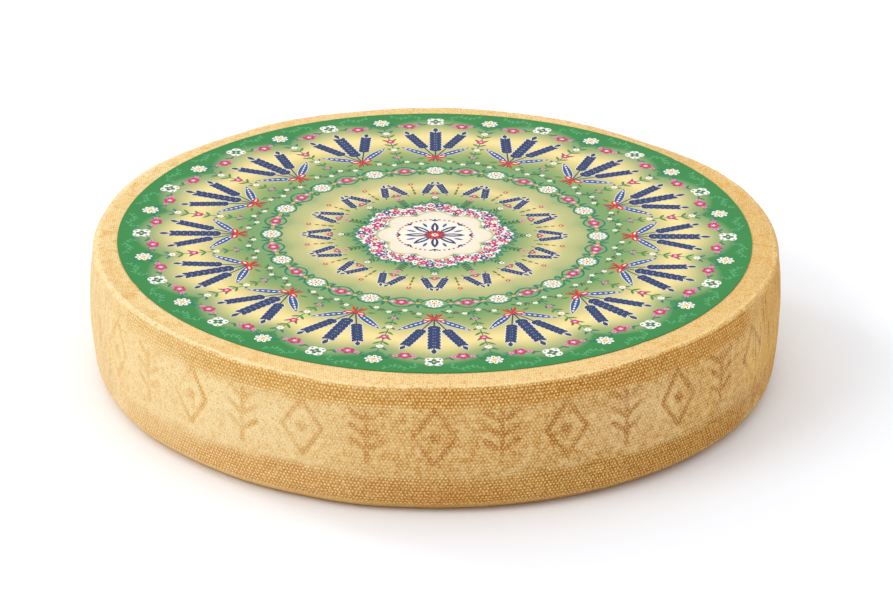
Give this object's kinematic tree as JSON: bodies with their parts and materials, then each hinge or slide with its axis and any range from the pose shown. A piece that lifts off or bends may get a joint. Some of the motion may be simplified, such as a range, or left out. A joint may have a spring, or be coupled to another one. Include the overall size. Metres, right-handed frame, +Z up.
{
  "type": "gruyere cheese wheel",
  "caption": "Whole round wheel of hard cheese lying flat, with a beaded golden rind and a round printed paper label on its upper face.",
  "frame": {"origin": "middle of the flat face that the wheel lies on", "axes": "+Z up along the wheel's axis, out of the face that carries the label; the picture was taken from -Y, with +X to its right"},
  "size_m": [0.58, 0.58, 0.1135],
  "materials": {
    "rind": "matt, dry washed rind with fine beads pressed in by its hoop",
    "paper": "printed, semi-matt"
  },
  "bodies": {
    "root": {"wheel": "rind", "label": "paper"}
  },
  "joints": []
}
